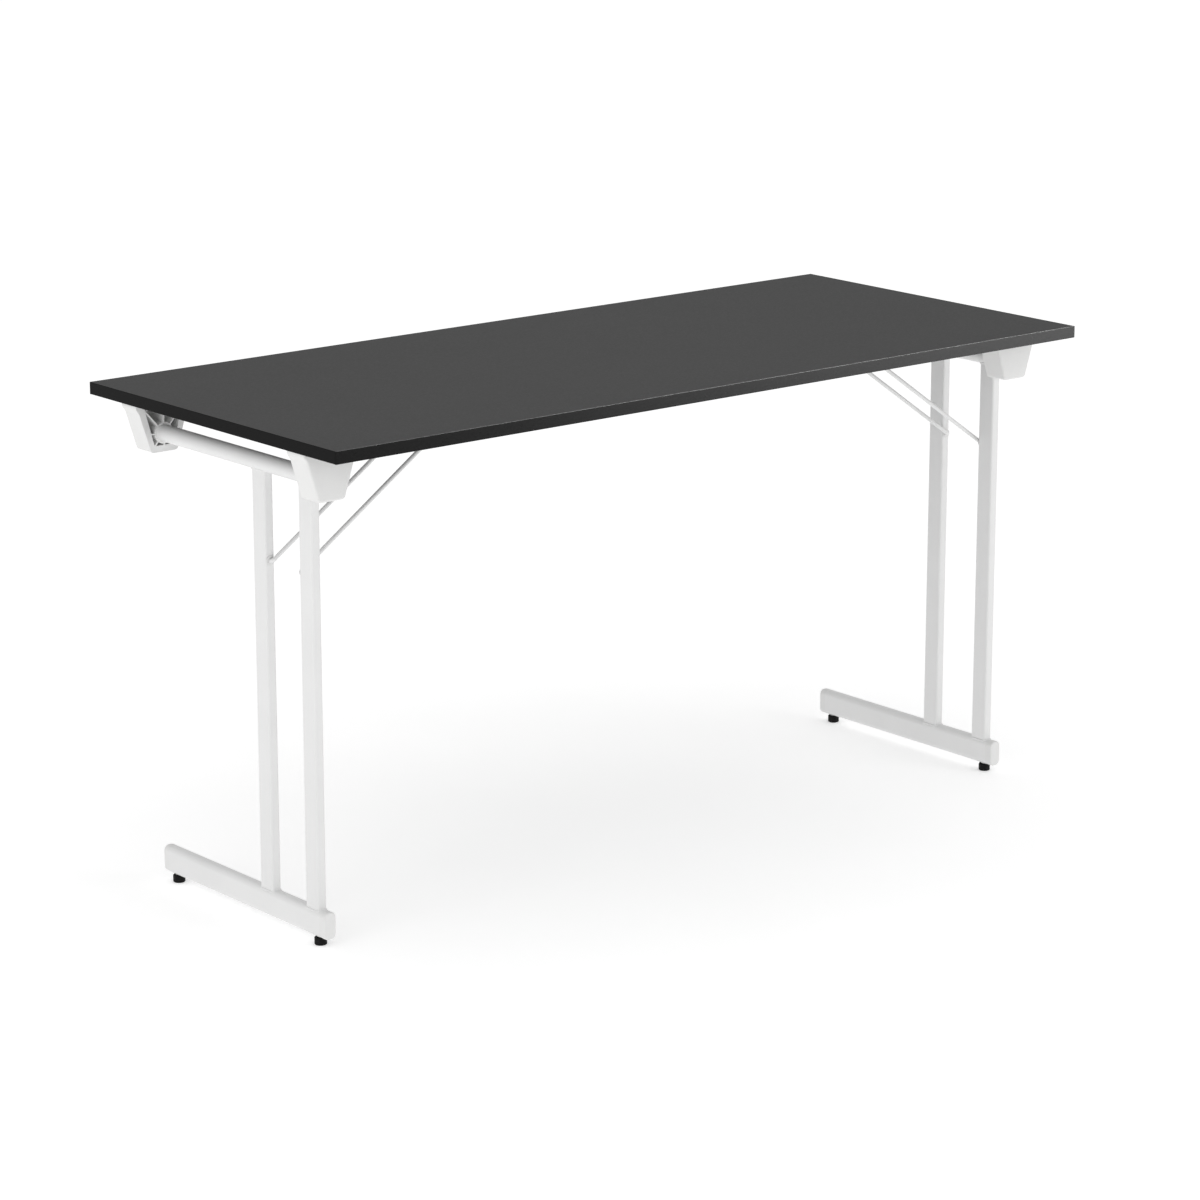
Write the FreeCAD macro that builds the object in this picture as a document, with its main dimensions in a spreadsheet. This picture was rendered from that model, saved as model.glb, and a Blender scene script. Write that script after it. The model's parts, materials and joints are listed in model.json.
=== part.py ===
import FreeCAD, Part
import math
import os
import re

import Sketcher
from FreeCAD import Placement, Rotation, Vector

# A folding table. The origin is on the floor below the middle of the board, +X runs along the
# length, -Y is the front and +Z is up. All sizes are in millimetres and degrees.
SIZES = {
    # board
    "table_length": 1400,
    "table_width": 600,
    "table_height": 732,
    "board_thickness": 18,
    "laminate": 0.8,
    "band": 2,
    "band_round": 1,
    # leg frames: the hinge axes lie at hinge_place either side of the middle, hinge_drop under the board
    "hinge_place": 651.5,
    "hinge_drop": 44,
    "hinge_radius": 12.5,
    "hinge_reach": 219.8,
    "tube_wall": 1.5,
    "leg_width": 30,
    "leg_depth": 15,
    "leg_round": 3,
    "front_leg": -168,
    "rear_leg": -58,
    "foot_length": 402,
    "foot_height": 40,
    "foot_depth": 20,
    "foot_round": 8,
    "foot_lift": 12,
    "cap_length": 13,
    "cap_plug": 5,
    "plug_wall": 2,
    "cap_round": 2.5,
    # hinge brackets
    "bracket_face": 184,
    "bracket_depth": 39,
    "bracket_wall": 3,
    "bracket_drop": 27,
    "bracket_foot": 22,
    "bracket_waist": 40.5,
    "bracket_rise": 31,
    "bracket_flange": 46,
    "flange_lip": 5,
    "bracket_round": 6,
    "flange_round": 8,
    "face_round": 3.5,
    "roof": 4,
    "hollow_top": 32.5,
    "hollow_foot": 16.5,
    "hollow_drop": 17.5,
    "hollow_round": 3,
    "rib": 2,
    "rib_reach": 60,
    "boss_radius": 5,
    "boss_height": 8,
    "boss_place": 27,
    "boss_inset": 9,
    "hub_wall": 3,
    "turning_gap": 0.05,
    # levelling feet
    "glide_place": 177,
    "glide_radius": 9,
    "glide_height": 11,
    "glide_edge": 1,
    "stem_radius": 4,
    "stem_low": 3,
    "stem_high": 45,
    "insert_radius": 5.5,
    "insert_height": 12,
    # wire stays
    "wire_radius": 3,
    "stay_middle": -113,
    "stay_half": 34.75,
    "stay_end": 47,
    "stay_drop": 138,
    "end_bend": 4.25,
    "cross_bend": 10,
    "bush_radius": 4.5,
    "bush_flange": 7,
    "bush_depth": 4,
    "flange_depth": 1,
    # stay locks and storage clips
    "wire_drop": 10,
    "lock_place": 402.5,
    "plate": 3,
    "plate_width": 56,
    "plate_round": 4,
    "plate_screw": 22,
    "lock_half": 24,
    "clip_half": 12,
    "clip_width": 24,
    "seat_gap": 0.35,
    "cheek_outer": 16,
    "cheek_inner": 12,
    "latch_half": 8,
    "pin_radius": 1.5,
    "pin_along": 13,
    "pin_up": 4.2,
    "spring_gap": 0.3,
    "spring_wire": 0.7,
    "left_fold": 90,
    "right_fold": 87.5,
    # screws
    "screw_radius": 2,
    "screw_length": 16,
    "head_radius": 4,
    "head_height": 2.4,
    "pilot_depth": 13,
}

UNDERSIDE = "(table_height - board_thickness)"
HINGE_LEVEL = "(table_height - board_thickness - hinge_drop)"
STAY_LEVEL = "(table_height - board_thickness - hinge_drop - stay_drop)"
WIRE_LEVEL = "(table_height - board_thickness - wire_drop)"
FOOT_MIDDLE = "(foot_lift + foot_height / 2)"
STAY_RUN = "(hinge_place - lock_place)"
STAY_RISE = "(stay_drop + hinge_drop - wire_drop)"
SIDES = {"left": -1, "right": 1}
ENDS = {"front": -1, "rear": 1}
RIB_TURNS = (0, 48, 90, 132)
NEAR = 0.01

# Outlines about the crossbar's middle: x towards the middle of the table, z up.
CHEEKS = [
    ("-20", "wire_drop"), ("22", "wire_drop"), ("22", "1"), ("12", "-1"), ("12", "-11.5"),
    ("-3", "-8.5"), ("-13", "-2"), ("-20", "5"),
]
WAY_OUT = [("-1.3", "-3.15"), ("1.2", "3.3"), ("26", "-4.6"), ("26", "-16")]
ROOM = [("-40", "wire_drop - plate"), ("60", "wire_drop - plate"), ("60", "-30"), ("-40", "-30")]
LEVER = [
    ("3.2", "2.3"), ("9.5", "0.6"), ("14", "0.9"), ("20", "-0.6"), ("32", "-4.4"), ("33.5", "-2.6"),
    ("21", "2"), ("16.5", "5.2"), ("15", "6.5"), ("11.2", "6.5"), ("9", "5.6"), ("3.2", "4.3"),
]
JAWS = [
    [("-7", "wire_drop - 1"), ("-3.6", "wire_drop - 1"), ("-3.6", "1.5"), ("-9.5", "-4"), ("-11", "-2.5")],
    [("3.4", "wire_drop - 1"), ("7", "wire_drop - 1"), ("6.2", "-6"), ("4.8", "-6.8"), ("3.4", "-5")],
]

doc = FreeCAD.newDocument("folding_table")
nodes = []


def make_sheet():
    """Put every driving size in a spreadsheet, one named cell each."""
    sheet = doc.addObject("Spreadsheet::Sheet", "sizes")
    for row, (alias, size) in enumerate(SIZES.items(), start=1):
        sheet.set(f"A{row}", alias)
        sheet.set(f"B{row}", str(size))
        sheet.setAlias(f"B{row}", alias)
    doc.recompute()
    return sheet


def formula(text):
    """Turn a formula of plain size names into one that names the sheet's cells."""
    return re.sub(r"[a-z_]+", lambda word: ("sizes." if word[0] in SIZES else "") + word[0], str(text))


def value(text):
    return float(sheet.evalExpression(formula(text)))


def bind(thing, **formulas):
    """Bind each property to its formula. Two underscores in a keyword stand for a dot."""
    for name, text in formulas.items():
        thing.setExpression(name.replace("__", "."), formula(text))
    return thing


def place(thing, x=0, y=0, z=0, turn=0, axis=(0, 0, 1)):
    """Put an object at three formulas, turned about an axis through its own origin."""
    thing.Placement = Placement(Vector(), Rotation(Vector(*axis), turn))
    return bind(thing, Placement__Base__x=x, Placement__Base__y=y, Placement__Base__z=z)


def keep(thing, label):
    """Name a finished sub-part and list it for export."""
    thing.Label = label
    nodes.append(thing)
    return thing


# sketches and bodies

def new_body(name):
    return doc.addObject("PartDesign::Body", name)


def new_sketch(body, plane, offset=0):
    """Start a sketch on one of the body's own origin planes."""
    sketch = body.newObject("Sketcher::SketchObject", body.Name + "_sketch")
    base = next(item for item in body.Origin.OriginFeatures if item.Role == plane)
    sketch.AttachmentSupport = (base, [""])
    sketch.MapMode = "FlatFace"
    return bind(sketch, AttachmentOffset__Base__z=offset)


def constrain(sketch, *terms):
    return sketch.addConstraint(Sketcher.Constraint(*terms))


def fix_point(sketch, curve, end, x, y):
    """Hold a point of a curve at two formulas from the sketch's origin."""
    for kind, text in (("DistanceX", x), ("DistanceY", y)):
        number = constrain(sketch, kind, -1, 1, curve, end, value(text))
        sketch.setExpression(f"Constraints[{number}]", formula(text))


def fix_radius(sketch, curve, radius):
    number = constrain(sketch, "Radius", curve, value(radius))
    sketch.setExpression(f"Constraints[{number}]", formula(radius))


def draw_circle(sketch, x, y, radius):
    middle = Vector(value(x), value(y), 0)
    curve = sketch.addGeometry(Part.Circle(middle, Vector(0, 0, 1), value(radius)))
    fix_radius(sketch, curve, radius)
    fix_point(sketch, curve, 3, x, y)


def draw_polygon(sketch, corners):
    """Draw a closed outline of straight lines through pairs of formulas."""
    spots = [Vector(value(x), value(y), 0) for x, y in corners]
    first = sketch.GeometryCount
    for start, end in zip(spots, spots[1:] + spots[:1]):
        sketch.addGeometry(Part.LineSegment(start, end))
    for number, (x, y) in enumerate(corners):
        following = (number + 1) % len(corners)
        constrain(sketch, "Coincident", first + number, 2, first + following, 1)
        fix_point(sketch, first + number, 1, x, y)


def draw_rounded(sketch, corners, closed):
    """Draw runs along X and Y through corners of (x, y, radius), with an arc of each radius."""
    spots = [Vector(value(x), value(y), 0) for x, y, _ in corners]
    count = len(corners)
    first = sketch.GeometryCount
    runs = []
    for number in range(count if closed else count - 1):
        following = (number + 1) % count
        along = (spots[following] - spots[number]).normalize()
        ends = []
        for corner, step in ((corners[number], along), (corners[following], -along)):
            ends.append([f"{corner[axis]} + {round(step[axis])} * {corner[2]}" for axis in (0, 1)])
        line = Part.LineSegment(*[Vector(value(x), value(y), 0) for x, y in ends])
        curve = sketch.addGeometry(line)
        fix_point(sketch, curve, 1, *ends[0])
        fix_point(sketch, curve, 2, *ends[1])
        runs.append((line, along))
    for number in range(0 if closed else 1, len(runs)):
        draw_corner(sketch, first, runs, number, corners[number][2])


def draw_corner(sketch, first, runs, number, radius):
    """Join a run to the one before it with a tangent arc."""
    before = (number - 1) % len(runs)
    start = runs[before][0].EndPoint
    end = runs[number][0].StartPoint
    corner = start + runs[before][1] * value(radius)
    middle = start + end - corner
    halfway = middle + (corner - middle).normalize() * value(radius)
    arc = sketch.addGeometry(Part.Arc(start, halfway, end))
    is_left_turn = runs[before][1].cross(runs[number][1]).z > 0
    constrain(sketch, "Coincident", first + before, 2, arc, 1 if is_left_turn else 2)
    constrain(sketch, "Coincident", first + number, 1, arc, 2 if is_left_turn else 1)
    fix_radius(sketch, arc, radius)


def rectangle(width, height, radius, x=0, y=0):
    """List the rounded corners of a rectangle about a point."""
    signs = ((1, 1), (-1, 1), (-1, -1), (1, -1))
    return [(f"{x} + {a} * ({width}) / 2", f"{y} + {b} * ({height}) / 2", f"({radius})") for a, b in signs]


def pad(body, sketch, length, middle=False, backwards=False):
    feature = body.newObject("PartDesign::Pad", body.Name + "_pad")
    feature.Profile = sketch
    feature.SideType = "Symmetric" if middle else "One side"
    feature.Reversed = backwards
    return bind(feature, Length=length)


def pocket(body, sketch, length="table_length", middle=False):
    """Cut a pocket along the sketch's back, or to both sides of it."""
    feature = body.newObject("PartDesign::Pocket", body.Name + "_pocket")
    feature.Profile = sketch
    feature.SideType = "Symmetric" if middle else "One side"
    return bind(feature, Length=length)


def fillet(body, radius, chosen):
    """Round the edges of the body so far whose middle point passes the test."""
    doc.recompute()
    base = body.Tip
    edges = [edge.valueAt((edge.FirstParameter + edge.LastParameter) / 2) for edge in base.Shape.Edges]
    feature = body.newObject("PartDesign::Fillet", body.Name + "_fillet")
    feature.Base = (base, [f"Edge{number}" for number, spot in enumerate(edges, start=1) if chosen(spot)])
    return bind(feature, Radius=radius)


def prism(name, corners, length, plane="XZ_Plane", middle=True, offset=0):
    """Make a body by padding one polygon."""
    body = new_body(name)
    sketch = new_sketch(body, plane, offset)
    draw_polygon(sketch, corners)
    pad(body, sketch, length, middle)
    return body


def tube_body(name, outer, inner, length, plane, middle, offset=0):
    """Make a body by padding a rounded section with a rounded hollow."""
    body = new_body(name)
    sketch = new_sketch(body, plane, offset)
    draw_rounded(sketch, outer, True)
    draw_rounded(sketch, inner, True)
    pad(body, sketch, length, middle)
    return body


# primitives and booleans

def box(name, width, depth, height):
    return bind(doc.addObject("Part::Box", name), Length=width, Width=depth, Height=height)


def cylinder(name, radius, height):
    return bind(doc.addObject("Part::Cylinder", name), Radius=radius, Height=height)


def across(name, radius, reach):
    """Make a cylinder along Y, reach long each way from its own origin's plane."""
    rod = cylinder(name, radius, f"2 * ({reach})")
    rod.Placement = Placement(Vector(), Rotation(Vector(1, 0, 0), 90))
    return bind(rod, Placement__Base__y=reach)


def join(kind, name, items):
    """Fuse the items, or gather them as separate solids."""
    thing = doc.addObject("Part::MultiFuse" if kind == "fuse" else "Part::Compound", name)
    setattr(thing, "Shapes" if kind == "fuse" else "Links", items)
    return thing


def combine(kind, name, base, tool):
    """Subtract the tool from the base, or keep only what they share."""
    thing = doc.addObject("Part::" + kind, name)
    thing.Base = base
    thing.Tool = tool
    return thing


def screw_set(label, spots, top):
    """Make wood screws at (x, y) formulas, with countersunk heads below and tips up in the board."""
    screws = []
    for number, (x, y) in enumerate(spots, start=1):
        name = f"{label}_{number}"
        shank = place(cylinder(name + "_shank", "screw_radius", "screw_length - head_height"), x, y, top)
        head = doc.addObject("Part::Cone", name + "_head")
        bind(head, Radius1="head_radius", Radius2="screw_radius", Height="head_height")
        place(head, x, y, f"{top} - head_height")
        screws.append(join("fuse", name, [shank, head]))
    return keep(join("group", label, screws), label)


def plate_holes(label):
    """Make the tools that cut the two countersunk holes through a lock or clip plate."""
    tools = []
    for step in (-1, 1):
        spot = (0, f"{step} * plate_screw", "wire_drop - plate")
        tools.append(place(cylinder(f"{label}_hole_{step + 2}", "screw_radius", "2 * plate"), *spot))
        sink = doc.addObject("Part::Cone", f"{label}_sink_{step + 2}")
        bind(sink, Radius1="head_radius", Radius2="screw_radius", Height="head_height")
        tools.append(place(sink, *spot))
    return join("fuse", label + "_holes", tools)


# places shared by several pieces

def bracket_screws():
    """List the bracket screws: two near the open side of each bracket."""
    spots = []
    for side in SIDES.values():
        for end in ENDS.values():
            y = f"{end} * (bracket_face + boss_inset)"
            for step in (-1, 1):
                spots.append((f"{side} * hinge_place + {step} * boss_place", y))
    return spots


def plate_screws(x):
    """List the two screws of a plate that sits over the middle of a stay."""
    return [(x, f"stay_middle + {step} * plate_screw") for step in (-1, 1)]


def clip_place(side):
    """Write where the folded stay's crossbar lies, as a distance from the middle of the table."""
    fold = f"{side}_fold * 1 deg"
    rise = f"(hinge_drop - wire_drop + stay_drop * cos({fold}))"
    length = f"({STAY_RUN} ^ 2 + {STAY_RISE} ^ 2)"
    return f"(hinge_place - stay_drop * sin({fold}) - sqrt({length} - {rise} ^ 2))"


def all_screws():
    spots = {"bracket": bracket_screws(), "lock": [], "clip": []}
    for side, sign in SIDES.items():
        spots["lock"] += plate_screws(f"{sign} * lock_place")
        spots["clip"] += plate_screws(f"{sign} * {clip_place(side)}")
    return spots


# board

def make_board(screws):
    core_length = "table_length - 2 * band"
    core_width = "table_width - 2 * band"
    layers = {
        "board_core": (f"{UNDERSIDE} + laminate", "board_thickness - 2 * laminate"),
        "underside_laminate": (UNDERSIDE, "laminate"),
        "top_laminate": ("table_height - laminate", "laminate"),
    }
    spots = screws["bracket"] + screws["lock"] + screws["clip"]
    for label, (low, height) in layers.items():
        layer = box(label + "_layer", core_length, core_width, height)
        place(layer, f"-({core_length}) / 2", f"-({core_width}) / 2", low)
        if label == "top_laminate":
            keep(layer, label)
            continue
        pilots = []
        for number, (x, y) in enumerate(spots):
            pilot = cylinder(f"{label}_pilot_{number}", "screw_radius", "pilot_depth")
            pilots.append(place(pilot, x, y, UNDERSIDE))
        keep(combine("Cut", label, layer, join("group", label + "_pilots", pilots)), label)


def make_edge_band(label, length, x, y, turn):
    """Make a band whose outer face looks along its own -Y, rounded along its outer edges."""
    corners = [(f"{a} * ({length}) / 2", b) for a, b in ((-1, "0"), (1, "0"), (1, "band"), (-1, "band"))]
    body = prism(label + "_body", corners, "board_thickness", "XY_Plane", False)
    reach = value(length) / 2
    has_corners = length == "table_length"

    def is_outer(spot):
        is_end = has_corners and abs(spot.x) > reach - NEAR and spot.y < value("band") - NEAR
        return spot.y < NEAR or is_end

    fillet(body, "band_round", is_outer)
    keep(place(body, x, y, UNDERSIDE, turn), label)


def make_edge_bands():
    for end, sign in ENDS.items():
        make_edge_band(f"edge_band_{end}", "table_length", 0, f"{sign} * table_width / 2", 90 * sign + 90)
    for side, sign in SIDES.items():
        x = f"{sign} * table_length / 2"
        make_edge_band(f"edge_band_{side}", "table_width - 2 * band", x, 0, 90 * sign)


# hinge brackets

def mirrored(half):
    """Complete an outline from its +X half, which is listed from the top down."""
    return half + [(f"-({x})", y) for x, y in reversed(half)]


def round_corners(body, half, numbers, radius):
    """Round the edges that run along Y at the numbered corners of a mirrored outline."""
    corners = [(value(half[number][0]), value(half[number][1])) for number in numbers]

    def is_corner(spot):
        return any(abs(abs(spot.x) - x) < NEAR and abs(spot.z - z) < NEAR for x, z in corners)

    fillet(body, radius, is_corner)


def bracket_block(label):
    """Make the bracket's outer form, closed at -Y, with soft edges round its outer face."""
    half = [
        ("bracket_flange", "hinge_drop"),
        ("bracket_flange", "hinge_drop - flange_lip"),
        ("bracket_waist", "bracket_rise"),
        ("bracket_foot", "-bracket_drop"),
    ]
    block = prism(label + "_block", mirrored(half), "bracket_depth", middle=False)
    round_corners(block, half, [1, 2], "flange_round")
    round_corners(block, half, [3], "bracket_round")
    face = -value("bracket_depth")
    top = value("hinge_drop")
    fillet(block, "face_round", lambda spot: abs(spot.y - face) < NEAR and spot.z < top - NEAR)
    return block


def bracket_hollow(label):
    """Make the space inside the bracket, open at Y = 0."""
    half = [("hollow_top", "hinge_drop - roof"), ("hollow_foot", "-hollow_drop")]
    hollow = prism(label + "_hollow", mirrored(half), "bracket_depth - bracket_wall", middle=False)
    round_corners(hollow, half, [0, 1], "hollow_round")
    return hollow


def bracket_ribs(name):
    """Make the crossed webs that pass through the hub, each at its own turn."""
    ribs = []
    for turn in RIB_TURNS:
        rib = box(f"{name}_rib_{turn}", "2 * rib_reach", "bracket_depth - bracket_wall", "rib")
        flat = Placement(Vector(-value("rib_reach"), 0, -value("rib") / 2), Rotation())
        rib.Placement = Placement(Vector(), Rotation(Vector(0, 1, 0), -turn)).multiply(flat)
        ribs.append(bind(rib, Placement__Base__y="-(bracket_depth - bracket_wall)"))
    return join("fuse", name + "_ribs", ribs)


def make_bracket(label, side, end):
    """Make one moulded bracket about its hinge axis, open towards the middle of the table."""
    depth = "bracket_depth - bracket_wall"
    hollow = bracket_hollow(label)
    shell = combine("Cut", label + "_shell", bracket_block(label), hollow)
    ribs = combine("Common", label + "_webs", hollow, bracket_ribs(label))
    hub = across(label + "_hub", "hinge_radius + turning_gap + hub_wall", f"({depth}) / 2")
    bind(hub, Placement__Base__y=0)
    bore = across(label + "_bore", "hinge_radius + turning_gap", f"({depth}) / 2")
    bind(bore, Placement__Base__y=0)
    bosses = []
    tools = [bore]
    for step in (-1, 1):
        spot = (f"{step} * boss_place", "-boss_inset", "hinge_drop - boss_height")
        boss = cylinder(f"{label}_boss_{step + 2}", "boss_radius", "boss_height")
        bosses.append(place(boss, *spot))
        shank = cylinder(f"{label}_hole_{step + 2}", "screw_radius", "2 * boss_height")
        tools.append(place(shank, *spot))
        sink = doc.addObject("Part::Cone", f"{label}_sink_{step + 2}")
        bind(sink, Radius1="head_radius", Radius2="screw_radius", Height="head_height")
        tools.append(place(sink, *spot))
    whole = join("fuse", label + "_whole", [shell, ribs, hub] + bosses)
    bracket = combine("Cut", label, whole, join("fuse", label + "_tools", tools))
    turn = 0 if ENDS[end] < 0 else 180
    place(bracket, f"{SIDES[side]} * hinge_place", f"{ENDS[end]} * bracket_face", HINGE_LEVEL, turn)
    keep(bracket, label)


# leg frames

def make_hinge_tube(label, x):
    body = new_body(label + "_body")
    sketch = new_sketch(body, "XZ_Plane")
    draw_circle(sketch, 0, 0, "hinge_radius")
    draw_circle(sketch, 0, 0, "hinge_radius - tube_wall")
    pad(body, sketch, "2 * hinge_reach", True)
    keep(place(body, x, 0, HINGE_LEVEL), label)


def foot_outline(shrink="0"):
    """List the corners of the foot tube's section, or of a smaller one inside it."""
    width = f"foot_depth - 2 * {shrink}"
    height = f"foot_height - 2 * {shrink}"
    return rectangle(width, height, f"foot_round - {shrink}", 0, FOOT_MIDDLE)


def make_leg(label, x, y, turn):
    """Make a leg that is coped round the hinge tube above and over the foot tube below."""
    low = "foot_lift + foot_height - foot_round"
    outer = rectangle("leg_depth", "leg_width", "leg_round")
    inner = rectangle("leg_depth - 2 * tube_wall", "leg_width - 2 * tube_wall", "leg_round - tube_wall")
    body = tube_body(label + "_body", outer, inner, f"{HINGE_LEVEL} - ({low})", "XY_Plane", False, low)
    cope = new_sketch(body, "XZ_Plane")
    draw_circle(cope, 0, HINGE_LEVEL, "hinge_radius")
    pocket(body, cope, middle=True)
    saddle = new_sketch(body, "XZ_Plane")
    draw_rounded(saddle, foot_outline(), True)
    pocket(body, saddle, middle=True)
    bush_hole = new_sketch(body, "XZ_Plane")
    draw_circle(bush_hole, 0, STAY_LEVEL, "bush_radius")
    pocket(body, bush_hole, "leg_width")
    keep(place(body, x, y, 0, turn), label)


def make_foot_tube(label, x):
    length = "foot_length - 2 * cap_length"
    body = tube_body(label + "_body", foot_outline(), foot_outline("tube_wall"), length, "XZ_Plane", True)
    holes = new_sketch(body, "XY_Plane", FOOT_MIDDLE)
    for sign in ENDS.values():
        draw_circle(holes, 0, f"{sign} * glide_place", "insert_radius")
    pocket(body, holes, "foot_height")
    keep(place(body, x), label)


def make_foot_cap(label, x, end):
    """Make a cap whose domed end looks along its own -Y and whose plug fills the tube behind it."""
    body = new_body(label + "_body")
    dome = new_sketch(body, "XZ_Plane")
    draw_rounded(dome, foot_outline(), True)
    pad(body, dome, "cap_length")
    face = -value("cap_length")
    fillet(body, "cap_round", lambda spot: abs(spot.y - face) < NEAR)
    plug = new_sketch(body, "XZ_Plane")
    draw_rounded(plug, foot_outline("tube_wall"), True)
    draw_rounded(plug, foot_outline("(tube_wall + plug_wall)"), True)
    pad(body, plug, "cap_plug", backwards=True)
    turn = 0 if end < 0 else 180
    keep(place(body, x, f"{end} * (foot_length / 2 - cap_length)", 0, turn), label)


def make_ring(name, outer, inner, height):
    """Make a tube along Z."""
    solid = cylinder(name + "_outer", outer, height)
    return combine("Cut", name, solid, cylinder(name + "_inner", inner, height))


def make_inserts(label, x):
    """Make the two threaded inserts in the bottom wall of a foot tube."""
    inserts = []
    for end, sign in ENDS.items():
        name = f"{label}_{end}"
        ring = make_ring(name, "insert_radius", "stem_radius + turning_gap", "insert_height")
        inserts.append(place(ring, x, f"{sign} * glide_place", "foot_lift"))
    keep(join("group", label, inserts), label)


def make_bushes(label, x):
    """Make the two flanged bushes that line the holes in the inner walls of the legs."""
    bushes = []
    for end, sign in ENDS.items():
        name = f"{label}_{end}"
        flange = make_ring(name + "_flange", "bush_flange", "wire_radius + turning_gap", "flange_depth")
        sleeve = make_ring(name + "_sleeve", "bush_radius", "wire_radius + turning_gap", "bush_depth")
        bind(sleeve, Placement__Base__z="flange_depth")
        bush = join("fuse", name, [flange, sleeve])
        leg_gap = "(rear_leg - front_leg - leg_width) / 2"
        y = f"stay_middle + {sign} * ({leg_gap} - flange_depth)"
        place(bush, x, y, STAY_LEVEL, -90 * sign, (1, 0, 0))
        bushes.append(bush)
    keep(join("group", label, bushes), label)


# levelling feet

def make_glide(name, x, y):
    """Make a levelling foot: a turned pad and the threaded stem that stands in it."""
    pad_body = new_body(name + "_pad_body")
    profile = new_sketch(pad_body, "XZ_Plane")
    draw_polygon(profile, [
        ("0", "0"), ("glide_radius - glide_edge", "0"), ("glide_radius", "glide_edge"),
        ("glide_radius", "glide_height - glide_edge"), ("glide_radius - glide_edge", "glide_height"),
        ("stem_radius", "glide_height"), ("stem_radius", "stem_low"), ("0", "stem_low"),
    ])
    turned = pad_body.newObject("PartDesign::Revolution", name + "_revolution")
    turned.Profile = profile
    turned.ReferenceAxis = (profile, ["V_Axis"])
    turned.Angle = 360
    keep(place(pad_body, x, y), f"{name}_pad")
    stem = cylinder(name + "_stem_rod", "stem_radius", "stem_high - stem_low")
    keep(place(stem, x, y, "stem_low"), f"{name}_stem")


# wire stays

def make_stay(label, sign):
    """Make the U of wire: ends in the legs, arms up to the crossbar under the board."""
    length = f"sqrt({STAY_RUN} ^ 2 + {STAY_RISE} ^ 2)"
    body = new_body(label + "_body")
    route = new_sketch(body, "XY_Plane")
    corners = [
        ("0", "-stay_end", "0"), ("0", "-stay_half", "end_bend"), (length, "-stay_half", "cross_bend"),
        (length, "stay_half", "cross_bend"), ("0", "stay_half", "end_bend"), ("0", "stay_end", "0"),
    ]
    draw_rounded(route, corners, False)
    section = new_sketch(body, "XZ_Plane", "stay_end")
    draw_circle(section, 0, 0, "wire_radius")
    pipe = body.newObject("PartDesign::AdditivePipe", label + "_pipe")
    pipe.Profile = section
    pipe.Spine = (route, [f"Edge{number}" for number in range(1, route.GeometryCount + 1)])
    lean = math.degrees(math.atan2(value(STAY_RISE), value(STAY_RUN)))
    place(body, f"{sign} * hinge_place", "stay_middle", STAY_LEVEL)
    spin = Rotation(Vector(0, 0, 1), 0 if sign < 0 else 180)
    body.Placement.Rotation = spin.multiply(Rotation(Vector(0, 1, 0), -lean))
    keep(body, label)


# stay locks

def lock_plate(name, half):
    """Make the flat plate that screws to the board."""
    body = new_body(name)
    sketch = new_sketch(body, "XY_Plane", "wire_drop - plate")
    draw_rounded(sketch, rectangle(f"2 * {half}", "plate_width", "plate_round"), True)
    pad(body, sketch, "plate")
    return body


def make_lock_housing(label, x, turn):
    """Make the housing: two hooked cheeks hold the crossbar, with a way out down and inwards."""
    block = prism(label + "_cheeks", CHEEKS, "2 * cheek_outer")
    way_out = prism(label + "_way_out", WAY_OUT, "4 * cheek_outer")
    seat = across(label + "_seat", "wire_radius + seat_gap", "2 * cheek_outer")
    room = prism(label + "_room", ROOM, "2 * cheek_inner")
    pin_hole = across(label + "_pin_hole", "pin_radius", "2 * cheek_outer")
    bind(pin_hole, Placement__Base__x="pin_along", Placement__Base__z="pin_up")
    cuts = join("fuse", label + "_cuts", [way_out, seat, room, pin_hole])
    cheeks = combine("Cut", label + "_hooks", block, cuts)
    whole = join("fuse", label + "_whole", [cheeks, lock_plate(label + "_plate", "lock_half")])
    holes = plate_holes(label)
    housing = combine("Cut", label, whole, holes)
    keep(place(housing, x, "stay_middle", WIRE_LEVEL, turn), label)


def make_latch(label, x, turn):
    """Make the release latch: a tooth over the crossbar's way out, a hub and a finger tab."""
    lever = prism(label + "_lever", LEVER, "2 * latch_half")
    bore = across(label + "_bore", "pin_radius + turning_gap", "2 * latch_half")
    bind(bore, Placement__Base__x="pin_along", Placement__Base__z="pin_up")
    latch = combine("Cut", label, lever, bore)
    keep(place(latch, x, "stay_middle", WIRE_LEVEL, turn), label)


def make_latch_pin(label, x, inward):
    pin = across(label, "pin_radius", "cheek_outer")
    pin_x = f"{x} + {inward} * pin_along"
    bind(pin, Placement__Base__x=pin_x, Placement__Base__z=f"{WIRE_LEVEL} + pin_up")
    keep(bind(pin, Placement__Base__y="stay_middle + cheek_outer"), label)


def make_latch_spring(label, x, inward):
    """Make the closed outline of the small torsion spring beside the latch."""
    inner = "pin_radius + spring_gap"
    spring = make_ring(label, f"{inner} + spring_wire", inner, "cheek_inner - latch_half - 2 * spring_gap")
    pin_x = f"{x} + {inward} * pin_along"
    place(spring, pin_x, "stay_middle - latch_half - spring_gap", f"{WIRE_LEVEL} + pin_up", 90, (1, 0, 0))
    keep(spring, label)


def make_stay_clip(label, x, turn):
    """Make the storage clip: two jaws, open downwards, that take the folded stay's crossbar."""
    jaws = [prism(f"{label}_jaw_{number}", jaw, "clip_width") for number, jaw in enumerate(JAWS)]
    whole = join("fuse", label + "_whole", jaws + [lock_plate(label + "_plate", "clip_half")])
    holes = plate_holes(label)
    clip = combine("Cut", label, whole, holes)
    keep(place(clip, x, "stay_middle", WIRE_LEVEL, turn), label)


# whole table

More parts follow.
